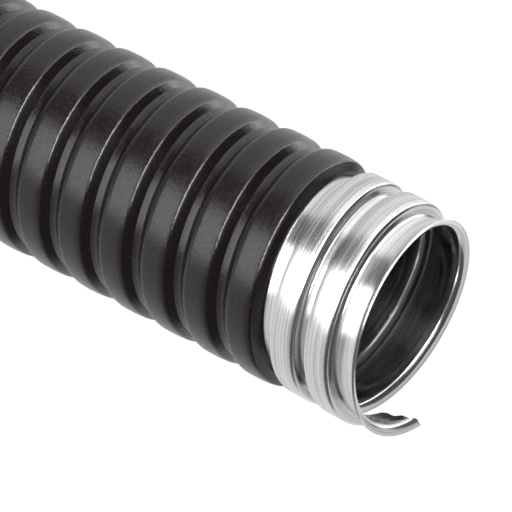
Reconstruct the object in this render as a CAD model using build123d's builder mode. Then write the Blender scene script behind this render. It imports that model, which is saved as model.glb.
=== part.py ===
"""Flexible metal conduit: one galvanised strip wound into an interlocked tube, under a black jacket.

Millimetres. The conduit stands along +Z on its square-cut end, with the bare, stripped-back end on
top. The axis of the bore is the Z axis, and the floor is z = 0.

The strip is a single long S section wound as a right-handed helix. The lower edge of each turn is
a flange that hooks inwards, and its upper edge is a lip that stands outwards inside the crest of
the next turn, so that the turns slide on each other but cannot come apart.

Sections are drawn with x along the conduit and y as the radius, measured from the lower edge of
one turn.
"""
import os
from math import ceil, cos, radians, sin

from build123d import *

# overall
conduit_length = 304.8
jacket_pitch = 7.4      # one turn, drawn out and held by the jacket
bare_pitch = 6.6        # one turn where the jacket is off and the turns close up
bare_turns = 1.475      # wound at the closer pitch, back from the end of the strip
jacket_back = 1.975     # turns from the end of the strip back to the end of the jacket

# strip section
strip_thickness = 0.3
crest_radius = 16.1     # outside of the metal
bore_radius = 13.7      # inside of the metal
crest_width = 4.3
hook_depth = 1.4        # lower flange, measured in from the outside of the crest
lip_height = 1.8        # upper flange, measured out from the bore
lip_flare = 0.4         # how far the lip leans away from its turn
hook_play = 0.05        # between hook and lip when the turns are drawn out

# torn end of the strip
tear_angle = 22         # how much sooner the hooked edge ends than the lip, about the axis
tear_depth = 0.5        # of the teeth that the tear left
tear_teeth = 5

# jacket section
jacket_wall = 0.45
jacket_sag = 1.15       # how far the jacket sinks between two crests
jacket_fit = 0.05       # between the jacket and the strip
shoulder = 0.25         # height of the softened shoulder of a crest
near_run = 0.8          # length of the flank towards the bare end
far_run = 1.25          # length of the flank towards the square end

web_radius = bore_radius + strip_thickness
lip_foot = jacket_pitch + strip_thickness + hook_play
lip_foot -= lip_flare * (crest_radius - hook_depth - web_radius) / (lip_height - strip_thickness)
strip_width = lip_foot + lip_flare + strip_thickness
lip_radius = bore_radius + lip_height

# the first turns lie below the square end and are cut away with it
bare_length = bare_turns * bare_pitch
covered_turns = ceil((conduit_length - bare_length) / jacket_pitch)
strip_start = conduit_length - strip_width - bare_length - covered_turns * jacket_pitch
jacket_turns = covered_turns + bare_turns - jacket_back
head_turns = 4          # wound apart, so that the square cut meets only these


# sections, as (distance along the conduit, radius) from the lower edge of a turn
wall_foot = crest_width - strip_thickness
crest_under = crest_radius - strip_thickness
strip_section = [
    (0, crest_radius - hook_depth),
    (0, crest_radius),
    (crest_width, crest_radius),
    (crest_width, web_radius),
    (lip_foot, web_radius),
    (lip_foot + lip_flare, lip_radius),
    (lip_foot + lip_flare + strip_thickness, lip_radius),
    (lip_foot + strip_thickness, bore_radius),
    (wall_foot, bore_radius),
    (wall_foot, crest_under),
    (strip_thickness, crest_under),
    (strip_thickness, crest_radius - hook_depth),
]

jacket_under = crest_radius + jacket_fit
jacket_top = jacket_under + jacket_wall
sag_under = jacket_under - jacket_sag
sag_top = sag_under + jacket_wall
near_foot = crest_width + jacket_fit + near_run
jacket_section = [
    (near_foot - jacket_pitch, sag_under),
    (near_foot - jacket_pitch, sag_top),
    (-far_run, sag_top),
    (-jacket_wall, jacket_top - shoulder),
    (jacket_wall / 2, jacket_top),
    (crest_width - jacket_wall, jacket_top),
    (crest_width + jacket_fit, jacket_top - shoulder),
    (near_foot, sag_top),
    (near_foot, sag_under),
    (crest_width + jacket_fit + near_run / 3, sag_under),
    (crest_width + jacket_fit, jacket_under),
    (-jacket_fit, jacket_under),
    (-jacket_fit - near_run / 3, sag_under),
]


def wind(section, start, *stretches):
    """A helix about the Z axis in stretches of (turns, pitch), its section on the plane of the axis."""
    with BuildPart() as wound:
        with BuildLine() as path:
            z = (section[0][0] + max(section)[0]) / 2   # the path runs through the middle of the section
            for turns, pitch in stretches:
                Helix(pitch, turns * pitch, crest_radius, center=(0, 0, z))
                z += turns * pitch
        with BuildSketch(Plane.XZ):
            with BuildLine():
                Polyline(*((radius, along) for along, radius in section), close=True)
            make_face()
        sweep(path=path.wires()[0], is_frenet=True)
    return wound.part.solids()[0].moved(Location((0, 0, start)))


def cut_square(piece):
    """What lies below the square end, z = 0, is cut away."""
    with BuildPart() as squared:
        add(piece)
        split(bisect_by=Plane.XY, keep=Keep.TOP)
    return squared.part.solids()[0]


def tear_off(piece):
    """The strip was twisted off: it ends in a slanting row of teeth, from hooked edge to lip."""
    end = radians(360 * bare_turns)
    run = radians(tear_angle) * crest_radius
    teeth = []
    for k in range(2 * tear_teeth + 1):
        share = k / (2 * tear_teeth)
        teeth.append((share * strip_width, run * (1 - share) + (tear_depth if k % 2 else 0)))
    outward = Plane((0, 0, conduit_length - strip_width), x_dir=(0, 0, 1), z_dir=(cos(end), sin(end), 0))
    with BuildPart() as torn:
        add(piece)
        with BuildSketch(outward.offset(bore_radius - lip_height)):
            with BuildLine():
                Polyline((-1, run), *teeth, (strip_width + 1, 0), (strip_width + 1, -run), (-1, -run), close=True)
            make_face()
        extrude(amount=2 * (crest_radius - bore_radius + lip_height), mode=Mode.SUBTRACT)
    return max(torn.part.solids(), key=lambda solid: solid.volume)


# the strip: square end, long covered stretch, one closed-up bare turn, then the sprung end
long_turns = covered_turns - head_turns
half = long_turns // 2
bare_start = strip_start + covered_turns * jacket_pitch
head = cut_square(wind(strip_section, strip_start, (head_turns, jacket_pitch)))
body = wind(
    strip_section,
    strip_start + head_turns * jacket_pitch,
    (half, jacket_pitch),
    (long_turns - half, jacket_pitch),
)
bare = wind(strip_section, bare_start, (1, bare_pitch))
tail = tear_off(wind(strip_section, bare_start + bare_pitch, (bare_turns - 1, bare_pitch)))
with BuildPart() as steel_strip:
    add(head.fuse(body, bare, tail, glue=True))

# the jacket: half turns, each sealed to its neighbours all round, glued in blocks of whole turns
half_turn = wind(jacket_section, strip_start, (0.5, jacket_pitch))
pieces = [
    half_turn.moved(Location((0, 0, k * jacket_pitch / 2), (0, 0, 1), 180 * k))
    for k in range(8)
]
block = pieces[0].fuse(*pieces[1:], glue=True)
blocks, left_over = divmod(round(2 * jacket_turns), len(pieces))
block_height = len(pieces) * jacket_pitch / 2
stack = [block.moved(Location((0, 0, k * block_height))) for k in range(1, blocks)]
if left_over:
    top = pieces[0].fuse(*pieces[1:left_over], glue=True) if left_over > 1 else pieces[0]
    stack.append(top.moved(Location((0, 0, blocks * block_height))))
with BuildPart() as pvc_jacket:
    add(cut_square(block).fuse(*stack, glue=True))

os.makedirs("parts", exist_ok=True)
for name, piece in (("steel_strip", steel_strip), ("pvc_jacket", pvc_jacket)):
    piece.part.label = name
    export_step(piece.part, f"parts/{name}.step")
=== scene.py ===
# %% [markdown]
# # A flexible metal conduit, dressed for its portrait
# The real thing is one long strip of galvanised steel, wound like a spring so that each turn hooks
# into the last, with a black PVC jacket over it. The jacket has been stripped back from one
# end, and there the bare turns close up and the torn end of the strip springs out.
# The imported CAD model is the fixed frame, standing on its square-cut end with the bare end on top.
# All that is made here lies where its solids are.

# %% Load the frame
from math import atan2, cos, radians, sin, tau

import bmesh
import bpy
from mathutils import Matrix, Vector


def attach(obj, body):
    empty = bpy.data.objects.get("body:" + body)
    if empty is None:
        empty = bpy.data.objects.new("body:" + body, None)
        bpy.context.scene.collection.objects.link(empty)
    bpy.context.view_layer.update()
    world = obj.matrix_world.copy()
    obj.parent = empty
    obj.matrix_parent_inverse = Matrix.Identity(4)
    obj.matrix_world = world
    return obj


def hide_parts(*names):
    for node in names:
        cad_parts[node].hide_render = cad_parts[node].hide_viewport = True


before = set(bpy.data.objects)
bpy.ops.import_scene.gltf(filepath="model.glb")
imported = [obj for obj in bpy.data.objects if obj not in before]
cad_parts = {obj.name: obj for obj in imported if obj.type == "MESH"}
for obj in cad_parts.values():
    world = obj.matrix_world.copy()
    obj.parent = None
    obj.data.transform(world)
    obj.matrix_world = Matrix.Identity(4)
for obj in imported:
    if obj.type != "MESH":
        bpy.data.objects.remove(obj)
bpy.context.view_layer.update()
scene = bpy.context.scene
MM = 0.001              # sizes are written in millimetres, and Blender works in metres

# %% [markdown]
# ## Camera
# The photograph was taken from well back with a long lens, so the two outlines of the tube hardly
# converge. It shows the bare end at the lower right, and the rest runs out at the top left. The
# model stands upright, so the camera is rolled until the tube lies in the picture as it does in the
# photograph. It is placed first, because everything else is judged through it.

# %% Camera at the photograph's viewing angle
azimuth, elevation, slope = radians(42.1), radians(26.7), radians(26.97)
picture_size, focal_pixels, sensor_width = 512, 3450, 36        # pixels, pixels and mm
distance = 472 * MM
mouth, mouth_pixel = Vector((0, 0, 301.5 * MM)), (416, 324.3)

to_camera = Vector((cos(azimuth) * cos(elevation), sin(azimuth) * cos(elevation), sin(elevation)))
level_right = Vector((0, 0, 1)).cross(to_camera).normalized()
level_up = to_camera.cross(level_right)
picture_right = level_up * cos(slope) - level_right * sin(slope)
picture_up = -level_right * cos(slope) - level_up * sin(slope)
pixel = distance / focal_pixels
mouth_right, mouth_down = (value - picture_size / 2 for value in mouth_pixel)
centre = mouth - picture_right * mouth_right * pixel + picture_up * mouth_down * pixel

lens = bpy.data.cameras.new("camera")
lens.sensor_width = sensor_width
lens.lens = sensor_width * focal_pixels / picture_size
lens.clip_end = 20
camera = bpy.data.objects.new("camera", lens)
turned = Matrix((picture_right, picture_up, to_camera)).transposed().to_4x4()
camera.matrix_world = Matrix.Translation(centre + to_camera * distance) @ turned
scene.collection.objects.link(camera)
scene.camera = camera
print("lens", round(lens.lens), "mm at", round(distance, 2), "m")

# %% [markdown]
# ## Helpers for materials
# Colours are written as they would be picked on a screen, and one function turns them to linear
# light. Another adds a node with its settings and links, which keeps each finish short to read.


# %% Material helpers
def linear(hex_colour):
    parts = [int(hex_colour[i:i + 2], 16) / 255 for i in (1, 3, 5)]
    return [p / 12.92 if p <= 0.04045 else ((p + 0.055) / 1.055) ** 2.4 for p in parts] + [1.0]


def node(tree, kind, settings=(), **inputs):
    """Adds a node with its settings, and fills its inputs or links them.

    In an input's name _ stands for a space, and i0 is the first input. A link may come from a socket
    or from a node, whose first output is taken then.
    """
    made = tree.nodes.new(kind)
    for key, value in dict(settings).items():
        setattr(made, key, value)
    for key, value in inputs.items():
        socket = made.inputs[int(key[1:])] if key[1:].isdigit() else made.inputs[key.replace("_", " ")]
        if isinstance(value, bpy.types.Node):
            value = value.outputs[0]
        if isinstance(value, bpy.types.NodeSocket):
            tree.links.new(value, socket)
        else:
            socket.default_value = value
    return made


def new_material(name):
    material = bpy.data.materials.new(name)
    material.use_nodes = True
    tree = material.node_tree
    return material, tree, tree.nodes["Principled BSDF"]


# settings that many nodes share
smooth, times = {"interpolation_type": "SMOOTHSTEP"}, {"operation": "MULTIPLY"}
colours = {"data_type": "RGBA"}         # such a Mix has its two colours on i6 and i7
numbers = {"data_type": "FLOAT"}        # and this one its two numbers on i2 and i3


# %% [markdown]
# ## Galvanised steel strip
# Cold-rolled strip with a thin coat of zinc. Rolling leaves fine lines along its length, which
# stretch every reflection, and the zinc gives a pale, slightly clouded grey. The pattern is read
# from the strip map, whose u runs along the helix and v across the strip, both in millimetres.

# %% Galvanised steel: its pattern
galvanised_strip, tree, steel = new_material("galvanised_strip")
steel.inputs["Metallic"].default_value = 1.0
strip_map = node(tree, "ShaderNodeUVMap", {"uv_map": "strip"})
across_steel = node(tree, "ShaderNodeSeparateXYZ", Vector=strip_map).outputs["Y"]
# worked: one on the crest, where the rolls pressed hardest
crest_start = node(tree, "ShaderNodeMapRange", smooth, Value=across_steel, From_Min=1.0, From_Max=1.5)
crest_end = node(
    tree, "ShaderNodeMapRange", smooth,
    Value=across_steel, From_Min=4.2, From_Max=5.0, To_Min=1.0, To_Max=0.0,
)
worked = node(tree, "ShaderNodeMath", times, i0=crest_start, i1=crest_end)
# rolling lines, about 0.5 mm apart and 60 mm long
drawn_out = node(tree, "ShaderNodeMapping", Vector=strip_map, Scale=(0.016, 2.0, 1.0))
lines = node(
    tree, "ShaderNodeTexNoise", {"noise_dimensions": "2D"},
    Vector=drawn_out, Scale=1.0, Detail=3.0, Roughness=0.6,
).outputs["Fac"]
# the slight waviness of thin sheet, about 3 mm long, which breaks up the ends of a highlight
wavy_map = node(tree, "ShaderNodeMapping", Vector=strip_map, Scale=(0.3, 1.6, 1.0))
wavy = node(
    tree, "ShaderNodeTexNoise", {"noise_dimensions": "2D"},
    Vector=wavy_map, Scale=1.0, Detail=4.0, Roughness=0.7,
).outputs["Fac"]
print("the steel's pattern takes", len(tree.nodes), "nodes")

# %% Galvanised steel: its gloss, tint and relief
rough_low = node(tree, "ShaderNodeMapRange", Value=worked, To_Min=0.15, To_Max=0.20)
rough_high = node(tree, "ShaderNodeMapRange", Value=worked, To_Min=0.20, To_Max=0.29)
rough = node(
    tree, "ShaderNodeMapRange",
    Value=lines, From_Min=0.3, From_Max=0.7, To_Min=rough_low, To_Max=rough_high,
)
tree.links.new(rough.outputs[0], steel.inputs["Roughness"])
streak = node(tree, "ShaderNodeMapRange", Value=lines, From_Min=0.35, From_Max=0.65)
tint = node(tree, "ShaderNodeMix", colours, Factor=streak, i6=linear("#C4C4C3"), i7=linear("#EAEAE9"))
tree.links.new(tint.outputs[2], steel.inputs["Base Color"])
waves = node(tree, "ShaderNodeBump", Height=wavy, Strength=0.1, Distance=0.1 * MM)
line_depth = node(tree, "ShaderNodeMapRange", Value=worked, To_Min=0.02, To_Max=0.1)
rolled = node(tree, "ShaderNodeBump", Height=lines, Strength=line_depth, Distance=0.1 * MM, Normal=waves)
tree.links.new(rolled.outputs[0], steel.inputs["Normal"])
print(galvanised_strip.name, "has", len(tree.nodes), "nodes")

# %% [markdown]
# ## Black PVC jacket
# Flexible PVC, extruded hot over the strip and drawn into its grooves. It is charcoal rather than
# black, with a satin skin that still shows small specks.

# %% Black PVC: its pattern
black_pvc, tree, pvc = new_material("black_pvc")
strip_map = node(tree, "ShaderNodeUVMap", {"uv_map": "strip"})
across_pvc = node(tree, "ShaderNodeSeparateXYZ", Vector=strip_map).outputs["Y"]
up_flank = node(tree, "ShaderNodeMapRange", smooth, Value=across_pvc, From_Min=2.0, From_Max=2.6)
down_flank = node(
    tree, "ShaderNodeMapRange", smooth,
    Value=across_pvc, From_Min=5.3, From_Max=6.0, To_Min=1.0, To_Max=0.0,
)
on_crest = node(tree, "ShaderNodeMath", times, i0=up_flank, i1=down_flank)
place = node(tree, "ShaderNodeTexCoord").outputs["Object"]
# mottling of the extruded skin, patches about 0.5 mm across
mottle = node(
    tree, "ShaderNodeTexNoise", Vector=place, Scale=1 / (0.5 * MM), Detail=3.0, Roughness=0.65,
).outputs["Fac"]
# pale specks of dust and talc, about 0.1 mm, one in a millimetre or so
dust = node(
    tree, "ShaderNodeTexNoise", Vector=place, Scale=1 / (0.22 * MM), Detail=1.0, Roughness=0.5,
).outputs["Fac"]
print("the PVC's pattern takes", len(tree.nodes), "nodes")

# %% Black PVC: its tint, gloss and grain
skin = node(tree, "ShaderNodeMix", colours, Factor=mottle, i6=linear("#16100F"), i7=linear("#231B1A"))
speck = node(tree, "ShaderNodeMapRange", Value=dust, From_Min=0.75, From_Max=0.80)
dusty = node(tree, "ShaderNodeMix", colours, Factor=speck, i6=skin.outputs[2], i7=linear("#7C7474"))
tree.links.new(dusty.outputs[2], pvc.inputs["Base Color"])
# the crests are rubbed a little duller than the grooves
worn = node(tree, "ShaderNodeMapRange", Value=on_crest, To_Min=0.16, To_Max=0.25)
uneven = node(
    tree, "ShaderNodeMapRange", Value=mottle, From_Min=0.3, From_Max=0.7, To_Min=-0.05, To_Max=0.07,
)
rough = node(tree, "ShaderNodeMath", {"operation": "ADD"}, i0=worn, i1=uneven)
tree.links.new(rough.outputs[0], pvc.inputs["Roughness"])
grain = node(tree, "ShaderNodeBump", Height=mottle, Strength=0.6, Distance=0.05 * MM)
tree.links.new(grain.outputs[0], pvc.inputs["Normal"])
print(black_pvc.name, "has", len(tree.nodes), "nodes")

# %% [markdown]
# ## Winding a section
# Both pieces are helices. Blender's spin operator makes one when each step also climbs the axis, so
# a section is drawn as a few corner points, its corners are rounded by bevelling the vertices, and
# it is spun through one turn. Spinning all 41 turns would slow down as the mesh grew, so the turn
# is copied up the axis instead, and the copies are welded.
# While a section is drawn, every point is told how far across the strip it lies, and while it is
# wound, how many turns it has climbed. The two numbers become the strip map.


# %% Drawing a section
def draw_section(bm, corners, first):
    """Corner points (height, radius, rounding, segments) in mm, joined by edges and rounded.

    The width is counted from the end of the line for which first gives the least.
    """
    points = [bm.verts.new((radius * MM, 0, height * MM)) for height, radius, *_ in corners]
    for a, b in zip(points, points[1:]):
        bm.edges.new((a, b))
    for point, (*_, rounding, segments) in zip(points, corners):
        if segments:
            bmesh.ops.bevel(
                bm, geom=[point], offset=rounding * MM, offset_type="OFFSET", affect="VERTICES",
                segments=segments, profile=0.5, material=-1, clamp_overlap=True,
            )
    ends = [v for v in bm.verts if len(v.link_edges) == 1]
    here = min(ends, key=first)
    across, length, came = bm.verts.layers.float["across"], 0.0, None
    while here is not None:
        here[across] = length / MM
        ahead = [e for e in here.link_edges if e is not came]
        came = ahead[0] if ahead else None
        if came:
            length += came.calc_length()
            here = came.other_vert(here)
        else:
            here = None


# %% Winding the section
weld_within = 0.003 * MM


def one_turn(corners, first, start, turned, turns, pitch, steps):
    """A new bmesh of up to one turn of the section, from the height start, after so many turns."""
    bm = bmesh.new()
    bm.verts.layers.float.new("across")
    along = bm.verts.layers.float.new("along")
    draw_section(bm, corners, first)
    bmesh.ops.translate(bm, vec=(0, 0, start * MM), verts=bm.verts)
    section = bm.verts[:] + bm.edges[:]
    for step in range(steps):
        spun = bmesh.ops.spin(
            bm, geom=section, cent=(0, 0, 0), axis=(0, 0, 1), angle=turns * tau / steps, steps=1,
            dvec=(0, 0, turns * pitch * MM / steps), use_merge=False,
        )
        section = spun["geom_last"]
        for v in section:
            if isinstance(v, bmesh.types.BMVert):
                v[along] = turned + turns * (step + 1) / steps
    for v in bm.verts:
        if v[along] == 0.0:     # the section that the turn starts from
            v[along] = turned
    return bm


def copy_up(bm, turns, pitch):
    """Copies one wound turn up the axis."""
    along = bm.verts.layers.float["along"]
    turn = bm.verts[:] + bm.edges[:] + bm.faces[:]
    for k in range(1, turns):
        copied = bmesh.ops.duplicate(bm, geom=turn)["geom"]
        points = [v for v in copied if isinstance(v, bmesh.types.BMVert)]
        bmesh.ops.translate(bm, vec=(0, 0, k * pitch * MM), verts=points)
        for v in points:
            v[along] += k


def wind(corners, first, start, stretches):
    """Winds stretches of (turns, pitch, steps in a turn) on top of each other, welded."""
    whole, turned, height = bmesh.new(), 0.0, start
    for turns, pitch, steps in stretches:
        part = min(turns, 1)
        stretch = one_turn(corners, first, height, turned, part, pitch, round(steps * part))
        if turns > 1:
            copy_up(stretch, turns, pitch)
        if turned % 1:
            turn = Matrix.Rotation(tau * turned, 3, "Z")
            bmesh.ops.rotate(stretch, cent=(0, 0, 0), matrix=turn, verts=stretch.verts)
        carrier = bpy.data.meshes.new("stretch")
        stretch.to_mesh(carrier)
        stretch.free()
        whole.from_mesh(carrier)
        bpy.data.meshes.remove(carrier)
        turned += turns
        height += turns * pitch
    bmesh.ops.remove_doubles(whole, verts=whole.verts, dist=weld_within)
    return whole


# %% [markdown]
# ## Sizes
# They are the sizes of the real conduit. Length, pitches and thickness are those of the solids, and
# the strip's section is drawn a little closer to the photograph: its bore is 0.5 mm wider all round
# and its crest 0.35 mm narrower than in the solids.

# %% Sizes of the winding
conduit_length = 304.8
jacket_pitch = 7.4      # one turn under the jacket
bare_pitch = 6.6        # one turn where the jacket is off
bare_turns = 1.475
covered_turns = 40
jacket_back = 1.975     # turns from the end of the strip to the end of the jacket

strip_thickness = 0.3
crest_radius = 16.1
bore_radius = 14.2
crest_width = 3.95
hook_depth = 1.2
lip_foot = 7.35
lip_radius = 15.5
lip_flare = 0.45

strip_width = 8.263     # from the hooked edge to the lip, in the solids
strip_start = conduit_length - strip_width - bare_turns * bare_pitch - covered_turns * jacket_pitch
print("the strip starts at", round(strip_start, 3), "mm and is", round(strip_width, 3), "mm wide")

# %% [markdown]
# ## The steel strip
# Sheet metal is best made as the sheet that it is: one line for the section, wound into a surface,
# and given its thickness at the very end. So every bend has an even wall, and the torn end gets its
# raw edge by itself. The line runs through the middle of the metal, from the hook, over the crest
# and its round shoulder, down the wall, along the smooth web and out along the lip.

# %% The steel strip
mid = strip_thickness / 2
strip_line = [
    (mid, crest_radius - hook_depth, 0, 0),
    (mid, crest_radius - mid, 0.2, 2),
    (crest_width - mid, crest_radius - mid, 0.45, 4),
    (crest_width - mid, bore_radius + mid, 0.2, 2),
    (lip_foot + mid, bore_radius + mid, 0.6, 4),
    (lip_foot + lip_flare + mid, lip_radius, 0, 0),
]
fine = 96               # steps in a turn where the photograph shows the metal from close by
finest = 2 * fine
past_end = 0.02         # turns wound beyond the strip's end, for the tear
bm = wind(strip_line, lambda v: v.co.z, strip_start, [
    (covered_turns - 3, jacket_pitch, fine // 2),
    (3, jacket_pitch, fine),
    (1, bare_pitch, fine),
    (bare_turns - 1 + past_end, bare_pitch, finest),
])
print("strip", len(bm.verts), "points, open edges", sum(e.is_boundary for e in bm.edges))

# %% [markdown]
# ## The torn end
# The strip was twisted off: its hooked edge ends first, and the lip runs on to a point. Near the end
# the broad faces are first divided across, so that the tear can be uneven. Then the faces beyond
# the torn line are taken away, and the edge that is left is pulled onto the line.

# %% The torn end
tear_reach = 1.8        # degrees that the longest point reaches beyond the strip's end
tear_line = [           # (share of the width, degrees behind the longest point)
    (0, 22), (0.1, 22.5), (0.2, 20), (0.4, 18.5), (0.45, 15), (0.56, 14.5), (0.62, 11.5),
    (0.7, 12), (0.74, 6.5), (0.84, 6), (0.88, 2), (0.94, 1.2), (1, 0),
]
along, across = bm.verts.layers.float["along"], bm.verts.layers.float["across"]
full_width = max(v[across] for v in bm.verts)
last = covered_turns + bare_turns
torn_turns, broadest = 0.09, 0.9        # turns back from the end, and mm between two points
broad = [
    e for e in bm.edges
    if e.calc_length() > broadest * MM and all(v[along] > last - torn_turns for v in e.verts)
    and abs(e.verts[0][across] - e.verts[1][across]) > broadest
]
bmesh.ops.subdivide_edges(bm, edges=broad, cuts=5)
print("divided", len(broad), "broad edges for the tear")


def past_tear(v):
    """How far a point lies past the torn edge, in mm along the strip."""
    share = v[across] / full_width
    for (start, behind), (end, next_behind) in zip(tear_line, tear_line[1:]):
        if share <= end or end == 1:
            behind += (next_behind - behind) * (share - start) / (end - start)
            return ((v[along] - last) * 360 - tear_reach + behind) * tau / 360 * crest_radius


torn_away = [f for f in bm.faces if sum(past_tear(v) for v in f.verts) / len(f.verts) > 0]
bmesh.ops.delete(bm, geom=torn_away, context="FACES")
near_tear = 1.0         # mm
torn_edge = {v for e in bm.edges if e.is_boundary for v in e.verts if abs(past_tear(v)) < near_tear}
for v in torn_edge:
    back = past_tear(v) / crest_radius
    bmesh.ops.rotate(bm, cent=(0, 0, 0), matrix=Matrix.Rotation(-back, 3, "Z"), verts=[v])
    v.co.z -= bare_pitch * MM * back / tau
    v[along] -= back / tau
bmesh.ops.remove_doubles(bm, verts=list(torn_edge), dist=0.03 * MM)     # some now lie together
print("torn away", len(torn_away), "faces, and", len(torn_edge), "points pulled onto the tear")

# %% [markdown]
# ## The bare turns settle
# Nothing holds the turns once the jacket is off. They have closed up on one side, so the mouth
# tips that way, and the whole bare end leans a little. A turn climbs down on its near side by how
# far along the strip it is, so it keeps its section and slides over the turn before it.

# %% The bare turns settle
near_side, closed_by, opened_by = radians(42), 0.9, 0.25        # mm down, and mm up on the far side
free_from = 0.12                                                # turns above the covered ones
lean_side, lean_by, tightened = radians(132), 0.5, 0.008        # mm, and share of the radius
lean_from, lean_over = 288.0, 16.8                              # mm up the tube


def settle(bm):
    along = bm.verts.layers.float["along"]
    for v in bm.verts:
        free = min(max(v[along] - covered_turns - free_from, 0), 1)
        free *= free * (3 - 2 * free)
        near = (1 + cos(atan2(v.co.y, v.co.x) - near_side)) / 2
        v.co.z += (opened_by * (1 - near) - closed_by * near) * free * MM
        share = min(max((v.co.z / MM - lean_from) / lean_over, 0), 1)
        v.co.xy *= 1 - tightened * share
        v.co.xy += Vector((cos(lean_side), sin(lean_side))) * lean_by * MM * share


settle(bm)
print("the settled strip ends", round(max(v.co.z for v in bm.verts) / MM, 2), "mm up")

# %% [markdown]
# The Solidify modifier gives the sheet its thickness and closes the torn edge. It is applied
# before the foot of the tube is sawn off square, so that the saw cut is flat across the metal.
# The saw and the other helpers here serve the jacket too.

# %% Strip map, saw cut and object
metal_sharp, jacket_sharp = 40, 30      # degrees from which the shading shows an edge


def write_strip_map(bm, radius):
    """Writes the strip map in mm: u along the helix, v across the section."""
    across, along = bm.verts.layers.float["across"], bm.verts.layers.float["along"]
    strip_map = bm.loops.layers.uv.new("strip")
    for face in bm.faces:
        for loop in face.loops:
            loop[strip_map].uv = (loop.vert[along] * tau * radius, loop.vert[across])


def saw_off(bm):
    """Cuts off what lies below the floor, z = 0, and returns the edges round the open cut."""
    bmesh.ops.bisect_plane(
        bm, geom=bm.verts[:] + bm.edges[:] + bm.faces[:], plane_co=(0, 0, 0), plane_no=(0, 0, 1),
        clear_inner=True, dist=1e-7,
    )
    level = 0.001 * MM
    on_floor = [v for v in bm.verts if abs(v.co.z) < level]
    bmesh.ops.remove_doubles(bm, verts=on_floor, dist=0.002 * MM)
    return [e for e in bm.edges if e.is_boundary and all(abs(v.co.z) < level for v in e.verts)]


def object_from(bm, name, material, sharp=metal_sharp):
    """Makes the bmesh an object, smooth but for edges that turn by more than so many degrees."""
    mesh = bpy.data.meshes.new(name)
    bm.to_mesh(mesh)
    bm.free()
    made = bpy.data.objects.new(name, mesh)
    scene.collection.objects.link(made)
    mesh.materials.append(material)
    mesh.shade_smooth()
    mesh.set_sharp_from_angle(angle=radians(sharp))
    print(name, len(mesh.vertices), "points,", sum(len(p.vertices) - 2 for p in mesh.polygons), "triangles")
    return made


# %% Thickness and square cut
bmesh.ops.recalc_face_normals(bm, faces=bm.faces)
outside = max(bm.faces, key=lambda f: f.calc_center_median().xy.length)
middle = outside.calc_center_median()
if outside.normal.x * middle.x + outside.normal.y * middle.y < 0:
    bmesh.ops.reverse_faces(bm, faces=bm.faces)
write_strip_map(bm, crest_radius)
strip = object_from(bm, "wound_strip", galvanised_strip)
thickness = strip.modifiers.new("strip_thickness", "SOLIDIFY")
thickness.thickness, thickness.offset, thickness.use_even_offset = strip_thickness * MM, 0, True
walled = bpy.data.meshes.new_from_object(strip.evaluated_get(bpy.context.evaluated_depsgraph_get()))
strip.modifiers.clear()
bm = bmesh.new()
bm.from_mesh(walled)
cut = bmesh.ops.holes_fill(bm, edges=saw_off(bm), sides=0)["faces"]
bmesh.ops.triangulate(bm, faces=cut, ngon_method="EAR_CLIP")
bm.to_mesh(strip.data)
bm.free()
bpy.data.meshes.remove(walled)
strip.data.shade_smooth()
strip.data.set_sharp_from_angle(angle=radians(metal_sharp))
print("strip", sum(len(p.vertices) - 2 for p in strip.data.polygons), "triangles")
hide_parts("steel_strip")
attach(strip, "root")

# %% [markdown]
# ## The jacket
# It is a hose whose wall goes up over each crest and down between two of them. Its section for one
# pitch is an open line: the outside upwards, across the wall, and the inside back down. Once the
# turns are welded, the little walls between them lie inside the PVC and are taken out, except for
# the last turn's, which is the cut end that follows the groove. There the cut edge clings to the
# metal, so its points are drawn down and in.

# %% Section of the jacket
jacket_wall = 0.45
jacket_sag = 1.15
jacket_fit = 0.05
jacket_turns = covered_turns + bare_turns - jacket_back
jacket_under = crest_radius + jacket_fit
jacket_top = jacket_under + jacket_wall
sag_under = jacket_under - jacket_sag
sag_top = sag_under + jacket_wall
groove = 5.5            # middle of the groove, up from the lower edge of the turn
jacket_line = [         # up the outside
    (groove - jacket_pitch, sag_top + 0.05, 0, 0),
    (-1.15, sag_top - 0.05, 0.15, 2),
    (-0.05, jacket_top - 0.15, 0.35, 2),
    (0.5, jacket_top, 0.3, 2),
    (3.2, jacket_top, 0.6, 3),
    (4.05, jacket_top - 0.15, 0.3, 4),
    (5.15, sag_top + 0.1, 0, 0),
    (groove, sag_top + 0.05, 0, 0),
    (groove, sag_under, 0, 0),          # across the wall, and back down the inside
    (4.65, sag_under, 0.2, 2),
    (3.75, jacket_under, 0, 0),
    (-jacket_fit, jacket_under, 0, 0),
    (-0.9, sag_under, 0, 0),
    (groove - jacket_pitch, sag_under, 0, 0),
]
whole_turns, half_turn, jacket_steps = int(jacket_turns), jacket_turns % 1, 72
print("the jacket has", jacket_turns, "turns, and is", round(2 * jacket_top, 1), "mm across")

# %% Winding the jacket
bm = wind(jacket_line, lambda v: -v.co.x, strip_start, [
    (whole_turns, jacket_pitch, jacket_steps),
    (half_turn, jacket_pitch, jacket_steps),
])
cling_from = 4.4        # height in the section where the cut edge starts to cling
cling_over = 0.08       # turns over which it begins
drawn_down, drawn_in = 0.55, 0.4
along = bm.verts.layers.float["along"]
for v in bm.verts:
    past = v.co.z / MM - strip_start - v[along] * jacket_pitch - cling_from
    if v[along] >= jacket_turns - 1 and past > 0:
        cling = past * min((v[along] - jacket_turns + 1) / cling_over, 1)
        v.co.z -= drawn_down * cling * MM
        v.co.xy *= 1 - drawn_in * cling * MM / v.co.xy.length
print("wound jacket", len(bm.verts), "points")

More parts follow.
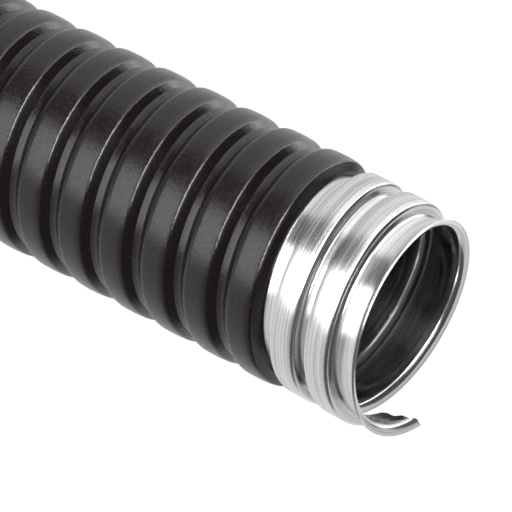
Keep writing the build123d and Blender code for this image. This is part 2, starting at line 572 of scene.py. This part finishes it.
# %% Closing the jacket
between = [f for f in bm.faces if sum(len(e.link_faces) > 2 for e in f.edges) >= 2]
bmesh.ops.delete(bm, geom=between, context="FACES")
bmesh.ops.triangle_fill(bm, edges=saw_off(bm), use_beauty=True, normal=(0, 0, -1))
jog = [e for e in bm.edges if e.is_boundary]
bmesh.ops.contextual_create(bm, geom=jog)
bmesh.ops.recalc_face_normals(bm, faces=bm.faces)
write_strip_map(bm, jacket_top)
print("jacket: walls taken out", len(between), "open edges", sum(e.is_boundary for e in bm.edges))
jacket = object_from(bm, "drawn_jacket", black_pvc, jacket_sharp)
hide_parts("pvc_jacket")
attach(jacket, "root")

# %% [markdown]
# ## Floor
# The conduit stands on a pale sheet. To the camera the sheet glows a little, so that it reads as the
# photograph's white and still keeps the shadow. Reflections see the light tent instead of it.

# %% Floor
floor_white, tree, paper = new_material("floor_white")
paper.inputs["Base Color"].default_value = linear("#F2F2F2")
paper.inputs["Roughness"].default_value = 0.9
rays = node(tree, "ShaderNodeLightPath")
glow = node(tree, "ShaderNodeMath", times, i0=rays.outputs["Is Camera Ray"], i1=0.36)
paper.inputs["Emission Color"].default_value = linear("#FFFFFF")
tree.links.new(glow.outputs[0], paper.inputs["Emission Strength"])
bm = bmesh.new()
bmesh.ops.create_grid(bm, x_segments=1, y_segments=1, size=4)      # metres from the middle
floor_sheet = object_from(bm, "floor", floor_white)
floor_sheet.visible_glossy = False

# %% [markdown]
# ## Light
# The conduit stands in a light tent, and the world is that tent. It lights everything evenly, and
# only reflections see how it is built up, because bare metal and glossy PVC show nothing but what
# they mirror. Low in front a softbox gives the white patch on every turn, and a grey card beside it
# the dark band next to that patch. Over the softbox hangs a narrow strip light, which draws the thin
# line on every shoulder, and beside it a long side window lets that line fade into grey. The roof is
# dark, which leaves the flanks of the grooves dark, and the tent behind the conduit is pale. Smooth
# steps in degrees, round the tent and up it, give all of them soft edges.

# %% The tent as degrees round and up
world = bpy.data.worlds.new("light_tent")
world.use_nodes = True
world.cycles.sampling_method = "NONE"
scene.world = world
tree = world.node_tree
place = node(tree, "ShaderNodeTexCoord").outputs["Generated"]
way = node(tree, "ShaderNodeSeparateXYZ", Vector=place)
round_angle = node(
    tree, "ShaderNodeMath", {"operation": "ARCTAN2"}, i0=way.outputs["Y"], i1=way.outputs["X"],
)
up_angle = node(tree, "ShaderNodeMath", {"operation": "ARCSINE"}, i0=way.outputs["Z"])
degrees_round = node(tree, "ShaderNodeMath", times, i0=round_angle, i1=360 / tau)
degrees_up = node(tree, "ShaderNodeMath", times, i0=up_angle, i1=360 / tau)
print("the tent's angles take", len(tree.nodes), "nodes")


def lay(over, under, around=(), upward=()):
    """Lays one brightness over another on a part of the tent, given by its soft edges in degrees.

    (24, 36, 72, 88) fades in from 24 to 36 and out from 72 to 88, and (1, 3) doesn't fade out.
    """
    share = 1.0
    for angle, edges in ((degrees_round, around), (degrees_up, upward)):
        for leaves, (start, end) in enumerate(zip(edges[::2], edges[1::2])):
            edge = node(
                tree, "ShaderNodeMapRange", smooth,
                Value=angle, From_Min=start, From_Max=end, To_Min=leaves, To_Max=1 - leaves,
            )
            share = node(tree, "ShaderNodeMath", times, i0=share, i1=edge)
    return node(tree, "ShaderNodeMix", numbers, Factor=share, i2=under, i3=over)


# %% Brightness of the tent
# lowest: pale, with the foot of the softbox in front and the grey card beside it
lowest = lay(lay(3.2, 0.5, upward=(-46, -38)), 0.82, around=(24, 36, 72, 88))
lowest = lay(0.2, lowest, around=(-20, -6, 20, 32))
# middle: the side window, and the head of the softbox
middle = lay(1.35, 0.4, around=(-125, -105, -16, -2))
middle = lay(lay(0.45, 3.2, upward=(-11, -7)), middle, around=(24, 36, 72, 88))
# high: the upper sash of the side window, and the strip light over the softbox
high = lay(lay(0.15, 3.2, upward=(8, 18)), 0.15, around=(-112, -88, 2, 12))
high = lay(lay(0.9, 17.0, upward=(11, 14)), high, around=(-14, 8, 50, 66))
# the three above each other
reflected = lay(high, lay(middle, lowest, upward=(-21, -17)), upward=(1, 3))
# the dark roof, which comes down lower at the sides than in front
roof_at_sides = lay(0.1, reflected, upward=(10, 18))
roof_in_front = lay(0.1, reflected, upward=(34, 46))
reflected = lay(roof_in_front, roof_at_sides, around=(-30, -8, 88, 105))
# pale behind the conduit, and further round higher up
reflected = lay(reflected, lay(0.85, reflected, upward=(-22, -18)), around=(-128, -110, 160, 178))
reflected = lay(reflected, lay(0.7, reflected, upward=(14, 22)), around=(-100, -86, 160, 178))
print("with its brightness the tent takes", len(tree.nodes), "nodes")

# %% Who sees the tent
rays = node(tree, "ShaderNodeLightPath")
lit = node(tree, "ShaderNodeMix", numbers, Factor=rays.outputs["Is Glossy Ray"], i2=0.75, i3=reflected)
seen = node(tree, "ShaderNodeMix", numbers, Factor=rays.outputs["Is Camera Ray"], i2=lit, i3=1.0)
tree.links.new(seen.outputs[0], tree.nodes["Background"].inputs["Strength"])
tree.nodes["Background"].inputs["Color"].default_value = linear("#FFFFFF")
print(world.name, "has", len(tree.nodes), "nodes")

# %% Finish
scene.view_settings.view_transform = "Standard"
